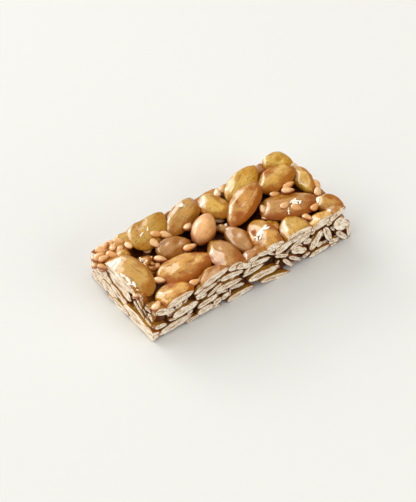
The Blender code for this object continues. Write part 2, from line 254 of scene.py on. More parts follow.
LEFT_SECTIONS = rows_of(Section, (
    (-1.4, 6.7, 9.8, 5.2, -15, 0.1), (-0.9, 3.9, 8.2, 3.2, -14, 0.4), (-5.4, 2.6, 7.6, 3.6, -8, 0.6),
    (0.0, 1.2, 7.2, 2.8, 0, 0.9), (8.2, 2.1, 14.4, 5.2, -3, 0.8), (-10.2, 1.5, 7.6, 3.4, 2, 0.4),
    (-10.0, 4.1, 7.6, 3.0, -4, 0.2), (-9.8, 6.6, 7.4, 3.2, 4, 0.3), (-6.2, 5.4, 4.6, 2.8, -24, 0.5),
    (8.4, 6.8, 6.6, 1.9, -22, -0.5), (9.8, 4.6, 6.4, 1.8, -14, -0.1), (6.2, 8.5, 5.4, 1.9, -30, -0.7),
    (11.2, 8.6, 4.2, 1.8, -8, -0.3),
))

TOP_GRAINS = rows_of(Grain, (
    (-28.3, 12.2, 9.5, -40), (-25.7, 11.2, 9.7, 70), (-23.5, 11.6, 10.2, -50), (-22.2, 9.6, 9.8, 84),
    (-29.3, 9.6, 9.2, -14), (-30.6, 12.0, 8.3, 60), (-30.5, 9.0, 7.8, 80), (-30.5, 10.8, 6.6, -70),
    (-15.0, 7.4, 11.0, -30), (-12.8, 6.4, 10.3, -38), (-16.8, 5.7, 10.2, -80), (-18.4, 0.8, 9.6, -50),
    (-10.4, -0.4, 10.0, -10), (-6.5, 5.8, 10.2, 42), (-16.7, -11.2, 10.3, -16), (-28.2, -11.3, 9.3, 36),
    (-23.0, -5.2, 9.8, -50), (-30.0, -5.4, 9.4, 62), (9.0, 12.0, 9.9, 36), (7.2, 12.0, 9.4, 60),
    (12.4, -0.4, 10.2, 72), (22.9, 2.7, 10.4, -4), (18.4, 2.4, 9.9, 0), (21.6, 1.2, 10.4, -30),
    (16.8, -3.7, 11.6, 14), (18.7, -6.0, 11.4, -52), (23.0, -8.0, 10.8, 20), (27.9, -3.0, 9.8, 52),
    (19.2, -9.8, 10.6, -80), (29.6, -0.6, 9.2, -104), (11.9, -2.9, 9.4, -50), (29.6, 9.0, 8.8, 70),
))

TOP_BITS = rows_of(Kernel, (
    (-23.0, 0.6, 9.3, 2.8, 1.6, 1.2, 60, 20, 10, 0.9, 0.2),
    (-21.6, -0.5, 9.2, 2.4, 1.5, 1.3, -20, -15, 0, 1.0, 0.5),
    (-22.0, 1.8, 9.5, 2.6, 1.7, 1.2, 10, 25, 0, 0.8, 0.0),
    (-20.8, 1.0, 9.3, 2.2, 1.4, 1.1, 95, 0, 20, 1.0, 0.6),
    (-20.2, 2.6, 9.2, 2.4, 1.3, 1.2, 30, 0, -20, 0.9, 0.3),
    (-21.4, 3.2, 9.4, 2.8, 1.2, 1.0, -40, 15, 0, 0.9, 0.1),
    (-29.4, -4.4, 10.2, 2.0, 1.4, 1.0, -80, 30, 0, 1.0, 0.0),
    (-29.4, -5.9, 9.5, 2.6, 1.5, 0.9, -60, 20, 30, 0.9, 0.0),
    (-30.0, -7.4, 8.6, 2.8, 1.6, 1.0, -75, 35, 0, 0.9, 0.0),
    (-29.4, -9.0, 8.1, 3.0, 1.7, 1.0, -65, 30, 20, 1.0, 0.1),
    (-29.8, -10.6, 6.8, 2.6, 1.4, 1.0, -80, 35, 0, 1.0, 0.0),
))

HEAP_GRAINS = rows_of(Grain, (
    (-27.2, 12.6, 9.6, 20), (-27.0, 9.4, 9.2, -60), (-29.6, 11.0, 9.1, 10), (-24.8, 12.8, 9.4, -20),
    (-31.0, 10.6, 7.6, 30), (-30.8, 7.6, 8.6, -40), (-24.4, 9.8, 9.5, 40),
))

FRONT_CHIPS = rows_of(Section, (
    (-22.9, 7.7, 2.4, 1.8, 20), (-24.8, 4.2, 3.0, 1.0, -20), (-12.2, 0.8, 3.2, 1.2, -8),
    (-9.0, 2.7, 2.6, 2.0, 24), (-2.3, 7.8, 3.0, 1.2, 40), (13.3, 10.1, 4.2, 1.2, 8),
    (16.4, 2.0, 2.6, 1.6, 10), (23.4, 9.2, 1.9, 1.8, 0), (18.2, 9.0, 1.8, 1.6, 60),
    (20.7, 3.2, 2.0, 1.8, 0), (25.3, 2.0, 3.4, 2.0, -10), (-7.7, 3.2, 2.6, 0.7, 84),
    (-19.8, 3.6, 1.8, 1.2, 10), (-10.7, 9.2, 1.8, 0.8, 20), (24.7, 6.4, 2.6, 0.9, -55),
    (5.2, 8.8, 3.2, 0.7, -35), (25.5, 0.6, 2.8, 0.9, 0),
))

LEFT_CHIPS = rows_of(Section, (
    (5.2, 9.9, 3.0, 1.7, -52, 0.3), (6.3, 8.8, 3.0, 1.2, -40, 0.1), (8.0, 7.6, 4.2, 1.0, -27, 0.4),
    (9.4, 6.6, 3.6, 1.3, -34, 0.0), (10.6, 8.6, 2.6, 1.6, 10, 0.1), (5.6, 6.6, 2.6, 0.9, -66, -0.2),
    (12.0, 7.2, 2.4, 1.5, -42, 0.3), (7.4, 10.3, 2.2, 1.5, 18, -0.2), (8.2, 9.3, 2.4, 1.2, -70, 0.2),
    (10.8, 5.0, 3.6, 1.2, -12, 0.5), (7.0, 5.2, 3.0, 1.0, -18, 0.2), (6.9, 6.8, 3.6, 1.6, -30, 0.6),
    (8.6, 6.2, 3.4, 1.1, -38, 0.7), (7.9, 8.4, 2.8, 1.3, -46, 0.5), (-7.0, 8.2, 2.6, 1.4, -20, 0.2),
    (-11.6, 8.0, 2.8, 1.2, 10, 0.1), (-8.4, 0.9, 3.2, 1.2, -8, 0.6), (-4.2, 0.8, 3.4, 1.1, 4, 0.8),
))

# White flakes and splinters lying on the top: x, y, length, width, thickness, heading
CRUMBS = (
    (6.0, -8.1, 3.6, 1.3, 0.4, 12), (6.9, -7.5, 3.4, 0.8, 0.4, 22), (5.2, -8.9, 2.8, 0.6, 0.4, 38),
    (7.6, -7.9, 2.0, 0.6, 0.4, -8), (4.6, -8.2, 2.4, 0.45, 0.35, 4), (3.9, -8.9, 1.6, 0.5, 0.35, 62),
    (19.4, -3.6, 2.4, 0.5, 0.4, 8), (20.0, -4.2, 2.2, 0.5, 0.4, -35), (19.3, -4.6, 1.6, 0.7, 0.5, -60),
    (18.6, -5.0, 1.2, 0.8, 0.5, 70), (20.6, -5.0, 1.4, 0.4, 0.4, 30), (16.3, -5.8, 2.4, 0.25, 0.25, 55),
    (-16.2, 9.5, 1.7, 0.3, 0.3, 50), (-18.4, 8.9, 1.9, 0.35, 0.35, 32),
    (-29.9, 0.4, 1.8, 0.6, 0.4, -70), (-29.7, -1.6, 2.4, 0.7, 0.5, -96),
    (-29.9, -3.0, 1.8, 0.5, 0.4, -50), (-29.4, -3.7, 2.2, 0.6, 0.5, -110),
    (-29.8, -4.9, 1.6, 0.7, 0.5, -75), (-22.3, 3.9, 2.4, 0.5, 0.5, 60),
    (-21.9, 3.0, 1.4, 0.5, 0.5, -20), (-21.3, 2.6, 1.8, 0.4, 0.4, 10), (-4.4, 11.5, 1.3, 0.9, 0.5, 20),
    (24.4, -11.9, 1.1, 0.7, 0.5, 10), (9.3, -1.6, 1.5, 1.0, 0.7, -30), (1.9, 1.2, 1.0, 0.6, 0.5, 50),
)

# The middle of the sesame heap at the back left corner, where the syrup is thin and amber
HEAP = (-28.5, 10.0, 8.5)

FRONT_TURN = Matrix.Identity(4)
LEFT_TURN = Matrix.Rotation(math.radians(-90), 4, "Z")
RIGHT_TURN = Matrix.Rotation(math.radians(90), 4, "Z")
BACK_TURN = Matrix.Rotation(math.radians(180), 4, "Z")


def length_of(name, description, default):
    """A length that a user may change, given in millimetres."""
    return bpy.props.FloatProperty(
        name=name, description=description, default=default * MM, unit="LENGTH"
    )


def colour_of(name, description, default):
    return bpy.props.FloatVectorProperty(
        name=name, description=description, default=default, subtype="COLOR"
    )


class BarShape(bpy.types.PropertyGroup):
    """Sizes of the seeds and the syrup that a user may change."""

    sesame_length: length_of("Sesame length", "Length of one sesame seed", 3.6)
    sesame_width: length_of("Sesame width", "Width of one sesame seed", 2.1)
    sesame_thickness: length_of("Sesame thickness", "Thickness of one sesame seed", 1.4)
    dent_depth: length_of("Dent depth", "How deep the broad dents in a kernel are", 0.34)
    saw_depth: length_of("Saw depth", "How rough the cut faces are", 0.09)
    gap_depth: length_of("Gap depth", "How far the syrup lies behind the cut sides", 0.8)


class BarColours(bpy.types.PropertyGroup):
    """Colours of the skins, the cut faces and the syrup."""

    amber: colour_of("Amber skin", "Skin of a well toasted kernel", (0.7, 0.315, 0.026))
    olive: colour_of("Olive skin", "Skin of a lightly toasted kernel", (0.6, 0.36, 0.028))
    brown: colour_of("Brown skin", "Skin of a darkly toasted kernel", (0.27, 0.085, 0.012))
    cream: colour_of("Cut kernel", "Inside of a cut kernel", (0.97, 0.89, 0.73))
    sesame: colour_of("Sesame", "Glazed sesame seeds", (0.82, 0.55, 0.27))
    nut: colour_of("Round nut", "Roasted nut in the middle of the top", (0.78, 0.4, 0.13))
    # The thick glaze colour also stands as painted shade low on each kernel and on slopes turned away from
    # the key light
    glaze: colour_of("Thick glaze", "Skin seen through thick glaze", (0.36, 0.09, 0.004))
    syrup: colour_of("Syrup", "Hard syrup between the seeds", (0.02, 0.004, 0.0015))


class StageSettings(bpy.types.PropertyGroup):
    """Camera, lights and floor."""

    azimuth: bpy.props.FloatProperty(
        name="Azimuth", description="Camera's turn about the bar, in degrees", default=-36.36
    )
    elevation: bpy.props.FloatProperty(
        name="Elevation", description="Camera's height above the floor, in degrees", default=44.5
    )
    distance: length_of("Distance", "From the camera to the bar", 476.9)
    floor: colour_of("Floor", "Floor colour", (0.69, 0.685, 0.65))


def shape():
    return bpy.context.scene.seed_bar_shape


def colours():
    return bpy.context.scene.seed_bar_colours


def clear_selection():
    bpy.ops.object.select_all(action="DESELECT")


def take(piece):
    """Selects one object alone and makes it active."""
    clear_selection()
    piece.select_set(True)
    bpy.context.view_layer.objects.active = piece


def positions(mesh):
    """Every point of a mesh, as rows of x, y and z in metres."""
    flat = np.empty(len(mesh.vertices) * 3, np.float32)
    mesh.vertices.foreach_get("co", flat)
    return flat.reshape(-1, 3).astype(float)


def move_points(mesh, points):
    mesh.vertices.foreach_set("co", points.astype(np.float32).ravel())
    mesh.update()


def write_values(mesh, name, values):
    """Stores a number or a vector on every point."""
    values = np.asarray(values, np.float32)
    vector = values.ndim == 2
    kind = "FLOAT_VECTOR" if vector else "FLOAT"
    layer = mesh.attributes.get(name) or mesh.attributes.new(name, kind, "POINT")
    layer.data.foreach_set("vector" if vector else "value", values.ravel())


def read_values(mesh, name, width=1):
    flat = np.empty(len(mesh.vertices) * width, np.float32)
    mesh.attributes[name].data.foreach_get("vector" if width == 3 else "value", flat)
    return flat.reshape(-1, 3).astype(float) if width == 3 else flat.astype(float)


def read_whole(items, key):
    """One whole number from every face or corner."""
    numbers = np.empty(len(items), np.int32)
    items.foreach_get(key, numbers)
    return numbers


def pick_points(piece, chosen):
    """Leaves exactly the chosen points selected, for the next edit mode step."""
    mesh = piece.data
    bpy.context.tool_settings.mesh_select_mode = (True, False, False)
    mesh.polygons.foreach_set("select", np.zeros(len(mesh.polygons), bool))
    mesh.edges.foreach_set("select", np.zeros(len(mesh.edges), bool))
    mesh.vertices.foreach_set("select", np.asarray(chosen, bool))


def apply_modifier(piece, kind, **settings):
    take(piece)
    step = piece.modifiers.new(kind.lower(), kind)
    for key, value in settings.items():
        setattr(step, key, value)
    bpy.ops.object.modifier_apply(modifier=step.name)


def dents(name, grain_mm, kind="CLOUDS"):
    """A cloud pattern for Displace, with lumps of a given size."""
    pattern = bpy.data.textures.new(name, kind)
    pattern.noise_scale = grain_mm * MM
    return pattern


def dent(piece, name, grain_mm, depth):
    """Pushes the surface in and out over lumps of a given size."""
    apply_modifier(
        piece,
        "DISPLACE",
        texture=dents(name, grain_mm),
        texture_coords="LOCAL",
        strength=depth,
        mid_level=0.5,
    )


def ball_seed(name, sides, rings, taper):
    """A ball with its poles on X, drawn in towards its nose at +X."""
    clear_selection()
    quarter_turn = (0.0, math.radians(90), 0.0)
    bpy.ops.mesh.primitive_uv_sphere_add(
        segments=sides, ring_count=rings, radius=1.0, rotation=quarter_turn
    )
    seed = bpy.context.active_object
    seed.name = name
    bpy.ops.object.transform_apply(location=False, rotation=True, scale=False)
    apply_modifier(
        seed, "SIMPLE_DEFORM", deform_method="TAPER", deform_axis="X", factor=taper
    )
    return seed


def push(seed, centre, radius, move, reach, falloff="SMOOTH"):
    """Moves the points near a place, with a soft fall-off round them."""
    away = np.linalg.norm(positions(seed.data) - np.array(centre), axis=1)
    pick_points(seed, away < radius)
    bpy.ops.object.mode_set(mode="EDIT")
    bpy.ops.transform.translate(
        value=move,
        use_proportional_edit=True,
        proportional_edit_falloff=falloff,
        proportional_size=reach,
    )
    bpy.ops.object.mode_set(mode="OBJECT")


def model_kernel(name, hollows):
    """A pumpkin kernel: flat faces, a thin rim, a drawn-out nose and a few hollows."""
    seed = ball_seed(name, KERNEL_SIDES, KERNEL_RINGS, KERNEL_TAPER)
    take(seed)
    for side in (1, -1):
        push(seed, (0.0, 0.0, side), 0.25, (0, 0, -0.16 * side), 0.8)
    push(seed, (1.0, 0.0, 0.0), 0.1, (0.07, 0, 0), 0.35, "SHARP")
    places = positions(seed.data)
    pick_points(seed, np.abs(places[:, 2]) < 0.1)
    bpy.ops.object.mode_set(mode="EDIT")
    bpy.ops.transform.resize(value=(1.01, 1.03, 1.0), center_override=(0, 0, 0))
    bpy.ops.object.mode_set(mode="OBJECT")
    for centre, move, reach in hollows:
        push(seed, centre, 0.16, move, reach)
    return seed


# Hollows in a unit kernel, as place, move and reach.
HOLLOWS = {
    "kernel_plain": (
        ((0.25, 0.35, 0.8), (0, 0, -0.1), 0.4),
        ((-0.5, -0.35, 0.75), (0, 0.03, -0.08), 0.35),
    ),
    "kernel_pitted": (
        ((0.15, -0.1, 0.85), (0, 0, -0.2), 0.32),
        ((-0.45, 0.3, 0.75), (0, 0, -0.14), 0.4),
        ((0.55, 0.35, 0.65), (0, 0, -0.12), 0.3),
        ((0.1, 0.1, -0.85), (0, 0, 0.15), 0.4),
    ),
    "kernel_ridged": (
        ((-0.2, 0.5, 0.7), (0, 0, -0.2), 0.5),
        ((0.2, 0.55, 0.65), (0, 0, -0.18), 0.45),
        ((0.1, -0.55, 0.65), (0, 0, -0.1), 0.4),
        ((-0.2, 0.0, -0.85), (0, 0, 0.12), 0.4),
    ),
}


def model_prototypes():
    """Three kernels that differ in their hollows, to be copied many times."""
    return [model_kernel(name, hollows) for name, hollows in HOLLOWS.items()]


def place_new(name, data):
    """A new object in the scene."""
    piece = bpy.data.objects.new(name, data)
    bpy.context.scene.collection.objects.link(piece)
    return piece


def join(pieces, name):
    """Joins objects into the first one, which takes the name."""
    take(pieces[0])
    for piece in pieces:
        piece.select_set(True)
    bpy.ops.object.join()
    pieces[0].name = name
    pieces[0].data.name = name
    return pieces[0]


def drop(pieces):
    """Removes objects that have been copied."""
    for piece in pieces:
        bpy.data.objects.remove(piece, do_unlink=True)


def turned(heading, pitch, roll):
    """Turns about Z by heading, tips the nose up by pitch, and rolls about the length."""
    about_z = Matrix.Rotation(math.radians(heading), 4, "Z")
    about_y = Matrix.Rotation(math.radians(-pitch), 4, "Y")
    about_x = Matrix.Rotation(math.radians(roll), 4, "X")
    return about_z @ about_y @ about_x


def placing(row, turn=FRONT_TURN):
    """The matrix that takes a unit seed to a row's size, turn and place."""
    half = (row.length / 2 * MM, row.width / 2 * MM, row.thickness / 2 * MM, 1)
    place = Matrix.Translation(Vector((row.x, row.y, row.z)) * MM)
    return turn @ place @ turned(row.heading, row.pitch, row.roll) @ Matrix.Diagonal(half)


class Seed(NamedTuple):
    """A seed to lay: its matrix, which prototype it copies, its finish, and how far its cut stands out."""

    matrix: Matrix
    prototype: int
    amber: float
    dark: float
    stand_out: float = 0.0


def drawn_sections(span, layers, draw):
    """Cut faces in layers along a side, by rule."""
    rows = []
    for layer in layers:
        along = -span / 2 + draw.uniform(0, 2.5)
        while along < span / 2 - 3:
            length = min(draw.uniform(5.4, 9.6), span / 2 + 1 - along)
            thickness = draw.uniform(2.0, 2.9)
            tilt = draw.uniform(-12, 12)
            height = layer + draw.uniform(-0.3, 0.3)
            bulge = draw.uniform(0, 0.7)
            rows.append(
                Section(along + length / 2, height, length, thickness, tilt, bulge)
            )
            along += length + draw.uniform(-0.2, 0.8)
    return rows


def whole_seeds(rows, draw):
    """Whole kernels, each with the wander of the cut that may end it."""
    seeds = []
    for number, row in enumerate(rows):
        wander = draw.uniform(-CUT_WANDER, CUT_WANDER)
        seeds.append(Seed(placing(row), number % 3, row.amber, row.dark, -wander))
    return seeds


def cut_seeds(rows, side_turn, cut, draw):
    """Kernels whose middles lie on one side's cut. side_turn takes the front to that side."""
    seeds = []
    for number, row in enumerate(rows):
        wander = draw.uniform(-CUT_WANDER, CUT_WANDER)
        reach = cut + row.bulge + wander
        kernel = Kernel(
            row.along, -reach, row.height, row.length, SECTION_DEPTH, row.thickness, 0, row.tilt
        )
        amber = 0.25 + 0.5 * ((number * 7) % 10) / 10
        # Cut kernels that lie further back get darker skin: painted shade in the recesses of the cut side
        dark = 0.75 - 0.5 * min(max(row.bulge, 0), 1)
        seeds.append(
            Seed(placing(kernel, side_turn), number % 3, amber, dark, row.bulge + wander)
        )
    return seeds


def bar_layout():
    """Every kernel of the bar, by group, with the random draws in the solid's order."""
    draw = random.Random(RANDOM_SEED)
    groups = {}
    groups["top"] = whole_seeds(TOP_KERNELS, draw)
    draw.uniform(-CUT_WANDER, CUT_WANDER)
    groups["front"] = cut_seeds(FRONT_SECTIONS, FRONT_TURN, -FRONT_CUT, draw)
    groups["left"] = cut_seeds(LEFT_SECTIONS, LEFT_TURN, -LEFT_CUT, draw)
    back_rows = drawn_sections(BACK_SPAN, BACK_LAYERS, draw)
    groups["back"] = cut_seeds(back_rows, BACK_TURN, BACK_CUT, draw)
    right_rows = drawn_sections(RIGHT_SPAN, RIGHT_LAYERS, draw)
    groups["right"] = cut_seeds(right_rows, RIGHT_TURN, RIGHT_CUT, draw)
    return groups


def facet(unit, matrix, draw, count):
    """Flattens a unit seed on a few planes, as pressing does. The first one has the shared slope."""
    wobble = Vector((draw.uniform(-0.2, 0.2), draw.uniform(-0.2, 0.2), 0))
    shared = matrix.to_3x3().transposed() @ (Vector(PRESSED_SLOPE) + wobble)
    for number in range(count):
        heading = draw.uniform(0, 2 * math.pi)
        rise = draw.uniform(0.25, 0.95)
        level = math.sqrt(1 - rise * rise)
        toward = np.array((level * math.cos(heading), level * math.sin(heading), rise))
        cut = draw.uniform(*FACET_CUTS)
        if number == 0 and abs(shared.x) < 0.8 * shared.length:
            toward = np.array(shared.normalized())
            cut -= 0.05
        beyond = np.maximum(unit @ toward - cut, 0)
        unit = unit - 0.92 * beyond[:, None] * toward
    return unit


def lay(name, seeds, prototypes, facets=0):
    """Copies the prototypes to their places, each with its own mesh, and joins them as one piece."""
    copies = []
    draw = random.Random(RANDOM_SEED + 5)
    for number, seed in enumerate(seeds):
        source = prototypes[seed.prototype % len(prototypes)]
        mesh = source.data.copy()
        unit = positions(mesh)
        write_values(mesh, "own", unit)
        write_values(mesh, "out", np.zeros((len(unit), 3)))
        for key, value in zip(POINT_VALUES[1:6], (number, seed.amber, seed.dark, 0, 1)):
            write_values(mesh, key, np.full(len(unit), value))
        if facets:
            move_points(mesh, facet(unit, seed.matrix, draw, facets))
        mesh.transform(seed.matrix)
        copies.append(place_new(f"{name}_{number}", mesh))
    return join(copies, name)


def smooth_step(low, high, value):
    share = np.clip((value - low) / (high - low), 0, 1)
    return share * share * (3 - 2 * share)


def saw(piece, seeds, plane_mm, outward, focus_depth, follow, opened=True):
    """Cuts the seeds at a plane: what lies beyond it is drawn in onto the cut face.

    follow says how much of each seed's own stand-out the plane takes. opened marks the new
    faces as cut kernel, and otherwise they keep their skin.
    """
    mesh = piece.data
    outward = np.array(outward, float)
    plane = np.array(plane_mm, float) * MM
    shift = np.array([seed.stand_out * follow * MM for seed in seeds])
    centres = np.array([seed.matrix.translation[:] for seed in seeds])
    turns = np.array([np.array(seed.matrix.inverted()) for seed in seeds])
    sizes = np.array([seed.matrix.to_scale()[:] for seed in seeds])
    which = np.rint(read_values(mesh, "seed")).astype(int)
    move_points(mesh, positions(mesh) - shift[which, None] * outward)
    take(piece)
    bpy.ops.object.mode_set(mode="EDIT")
    bpy.ops.mesh.select_all(action="SELECT")
    bpy.ops.mesh.bisect(
        plane_co=plane, plane_no=outward, use_fill=False, threshold=0.000001
    )
    bpy.ops.object.mode_set(mode="OBJECT")
    points = positions(mesh)
    which = np.rint(read_values(mesh, "seed")).astype(int)
    beyond = (points - plane) @ outward
    centre = centres[which] - shift[which, None] * outward
    inner = -((centre - plane) @ outward)
    depth = np.maximum(inner, focus_depth * MM)
    focus = centre - outward * (depth - inner)[:, None]
    on_cut = beyond > -2e-7
    share = depth / (depth + np.maximum(beyond, 0))
    landed = focus + (points - focus) * share[:, None]
    points = np.where((beyond > 2e-7)[:, None], landed, points)
    points += shift[which, None] * outward
    move_points(mesh, points)
    if opened:
        mark_cut(mesh, points, on_cut, which, turns, sizes, outward)


def mark_cut(mesh, points, on_cut, which, turns, sizes, outward):
    """Stores, over the new cut faces, the distance from the rim and from the kernel's middle."""
    padded = np.concatenate([points, np.ones((len(points), 1))], axis=1)
    unit = np.einsum("nij,nj->ni", turns[which], padded)[:, :3]
    taper = 1 + KERNEL_TAPER / 2 * unit[:, 0]
    ball = unit / np.stack([np.ones(len(unit)), taper, taper], axis=1)
    reach = np.linalg.norm(ball, axis=1) + 1e-9
    slope = np.linalg.norm(ball / sizes[which] / reach[:, None], axis=1)
    rim = np.maximum(read_values(mesh, "rim"), 0)
    rim[on_cut] = np.clip((1 - reach) / slope / MM, 0, 5)[on_cut]
    middle = read_values(mesh, "middle")
    middle[on_cut] = (unit[:, 2] * sizes[which][:, 2] / MM)[on_cut]
    own = read_values(mesh, "own", 3)
    own[on_cut] = unit[on_cut]
    out = read_values(mesh, "out", 3)
    out[on_cut] = outward
    write_values(mesh, "rim", rim)
    write_values(mesh, "middle", middle)
    write_values(mesh, "own", own)
    write_values(mesh, "out", out)
    corners = read_whole(mesh.loops, "vertex_index")
    starts = read_whole(mesh.polygons, "loop_start")
    cut_faces = np.minimum.reduceat(on_cut[corners].astype(int), starts).astype(bool)
    slots = read_whole(mesh.polygons, "material_index")
    slots[cut_faces] = 1
    mesh.polygons.foreach_set("material_index", slots)


def roughen_cuts(piece, depth):
    """Opens the seam between a kernel's halves and tears the cut faces a little."""
    mesh = piece.data
    points = positions(mesh)
    rim = read_values(mesh, "rim")
    middle = read_values(mesh, "middle")
    out = read_values(mesh, "out", 3)
    which = read_values(mesh, "seed")
    inside = smooth_step(0.02, 0.3, rim)
    lumps = np.empty(len(points))
    tears = np.empty(len(points))
    for number, point in enumerate(points):
        at = Vector(point) / MM
        lumps[number] = noise.noise(at * 0.9 + Vector((which[number], 0, 0)))
        tears[number] = noise.noise(at * 3.1)
    seam = np.exp(-(((middle + 0.25 * lumps) / 0.14) ** 2))
    seam *= smooth_step(-0.35, 0.1, lumps)
    drop_mm = 1.0 * lumps + 0.8 * tears
    move = depth * drop_mm - 0.2 * MM * seam
    edge = smooth_step(0.35, 0.0, rim) * (rim > 0.001) * np.maximum(-lumps, 0)
    move -= 0.35 * MM * edge
    points += out * (move * inside)[:, None]
    move_points(mesh, points)


def finish_piece(piece, materials):
    """Shades a piece, gives it its materials, and rides it on the bar."""
    take(piece)
    points = positions(piece.data)
    points[:, 2] = np.maximum(points[:, 2], 0)
    move_points(piece.data, points)
    bpy.ops.object.shade_smooth_by_angle(angle=math.radians(38))
    indices = read_whole(piece.data.polygons, "material_index")
    piece.data.materials.clear()
    for material in materials:
        piece.data.materials.append(material)
    piece.data.polygons.foreach_set("material_index", np.minimum(indices, len(materials) - 1))
    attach(piece, "root")
    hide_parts(NODE)
    return piece


def feed(node, inputs):
    """Sets a node's inputs, each to a value or from another node's output."""
    for key, value in inputs.items():
        if isinstance(value, bpy.types.NodeSocket):
            node.id_data.links.new(value, node.inputs[key])
        else:
            node.inputs[key].default_value = value


def add_node(tree, kind, inputs=(), **options):
    """A shader node with its options and its inputs set."""
    node = tree.nodes.new(kind)
    for key, value in options.items():
        setattr(node, key, value)
    feed(node, dict(inputs))
    return node


def ramp(tree, source, low, high, to_low=0.0, to_high=1.0):
    """Maps a value from one range to another, clamped and eased."""
    ends = {"From Min": low, "From Max": high, "To Min": to_low, "To Max": to_high}
    inputs = {"Value": source, **ends}
    node = add_node(tree, "ShaderNodeMapRange", inputs, interpolation_type="SMOOTHSTEP")
    return node.outputs["Result"]


def math_node(tree, operation, *values):
    return add_node(tree, "ShaderNodeMath", enumerate(values), operation=operation).outputs[0]


def vector_node(tree, operation, *values):
    """A step on vectors. A dot product and a distance give a number."""
    node = add_node(tree, "ShaderNodeVectorMath", enumerate(values), operation=operation)
    return node.outputs["Value" if operation in ("DOT_PRODUCT", "DISTANCE") else "Vector"]


def mix_colour(tree, factor, first, second, blend="MIX"):
    """Goes from one colour to another. The Mix node takes its colours at inputs 6 and 7."""
    inputs = {0: factor}
    for number, value in ((6, first), (7, second)):
        inputs[number] = value if isinstance(value, bpy.types.NodeSocket) else (*value, 1.0)
    node = add_node(tree, "ShaderNodeMix", inputs, data_type="RGBA", blend_type=blend)
    return node.outputs[2]


def value_of(tree, name, output="Fac"):
    """A value that the mesh carries on its points."""
    return add_node(tree, "ShaderNodeAttribute", attribute_name=name).outputs[output]


def coordinate(tree, output="Object"):
    return tree.nodes.new("ShaderNodeTexCoord").outputs[output]


def height_of(tree, vector):
    return add_node(tree, "ShaderNodeSeparateXYZ", {0: vector}).outputs["Z"]


def pattern(tree, place, scale, detail, roughness=0.5, distortion=0.0):
    """A noise texture's outputs."""
    inputs = {"Vector": place, "Scale": scale, "Detail": detail}
    inputs.update({"Roughness": roughness, "Distortion": distortion})
    return add_node(tree, "ShaderNodeTexNoise", inputs).outputs


def bump(tree, height, strength, distance, normal=None):
    """The normal of a bumpy surface, on top of another one's."""
    inputs = {"Height": height, "Strength": strength, "Distance": distance}
    if normal:
        inputs["Normal"] = normal
    return add_node(tree, "ShaderNodeBump", inputs).outputs["Normal"]


def new_group(name, inputs, outputs):
    """An empty shader node group with named sockets, with its inner sources and its end node."""
    group = bpy.data.node_groups.new(name, "ShaderNodeTree")
    for label, default in inputs:
        socket = group.interface.new_socket(label, in_out="INPUT", socket_type="NodeSocketFloat")
        socket.default_value = default
    for label, kind in outputs:
        group.interface.new_socket(label, in_out="OUTPUT", socket_type=kind)
    return group, group.nodes.new("NodeGroupInput").outputs, group.nodes.new("NodeGroupOutput")


def glaze_group():
    """Uneven glaze: soft facets with waves and fine grain on them, as a normal and a patch mask."""
    found = bpy.data.node_groups.get("Glaze")
    if found:
        return found
    inputs = (("Facet size", 420.0), ("Facet depth", 0.5), ("Wave depth", 0.4), ("Grain depth", 0.2))
    outputs = (("Normal", "NodeSocketVector"), ("Patches", "NodeSocketFloat"))
    group, start, end = new_group("Glaze", inputs, outputs)
    place = coordinate(group)
    waves = pattern(group, place, 650.0, 2.0, 0.45)
    bent = mix_colour(group, 0.0012, place, waves["Color"], "ADD")
    cells = {"Vector": bent, "Scale": start["Facet size"], "Smoothness": 0.25}
    facets = add_node(group, "ShaderNodeTexVoronoi", cells, feature="SMOOTH_F1")
    grain = pattern(group, place, 2600.0, 3.0, 0.6)
    normal = bump(group, facets.outputs["Distance"], start["Facet depth"], 0.0011)
    normal = bump(group, waves["Fac"], start["Wave depth"], 0.0007, normal)
    normal = bump(group, grain["Fac"], start["Grain depth"], 0.00022, normal)
    feed(end, {"Normal": normal, "Patches": ramp(group, waves["Fac"], 0.4, 0.62)})
    return group


def mottle_group():
    """Blotches and fine specks, each as a mask."""
    found = bpy.data.node_groups.get("Mottle")
    if found:
        return found
    inputs = (("Blotch size", 300.0), ("Speck size", 1500.0))
    outputs = (("Blotches", "NodeSocketFloat"), ("Specks", "NodeSocketFloat"))
    group, start, end = new_group("Mottle", inputs, outputs)
    place = coordinate(group)
    blotches = pattern(group, place, start["Blotch size"], 4.0, 0.6)["Fac"]
    specks = pattern(group, place, start["Speck size"], 4.0, 0.6)["Fac"]
    masks = {"Blotches": ramp(group, blotches, 0.35, 0.68), "Specks": ramp(group, specks, 0.52, 0.72)}
    feed(end, masks)
    return group


def new_material(name, inputs):
    """A material with a Principled shader. Returns its node tree and its shader too."""
    material = bpy.data.materials.new(name)
    material.use_nodes = True
    shader = material.node_tree.nodes["Principled BSDF"]
    feed(shader, {"Coat IOR": 1.5, **inputs})
    return material, material.node_tree, shader


def use_group(tree, group, **values):
    """Places a node group with its own values. Returns its outputs."""
    node = add_node(tree, "ShaderNodeGroup", node_tree=group)
    feed(node, {key.replace("_", " ").capitalize(): value for key, value in values.items()})
    return node.outputs


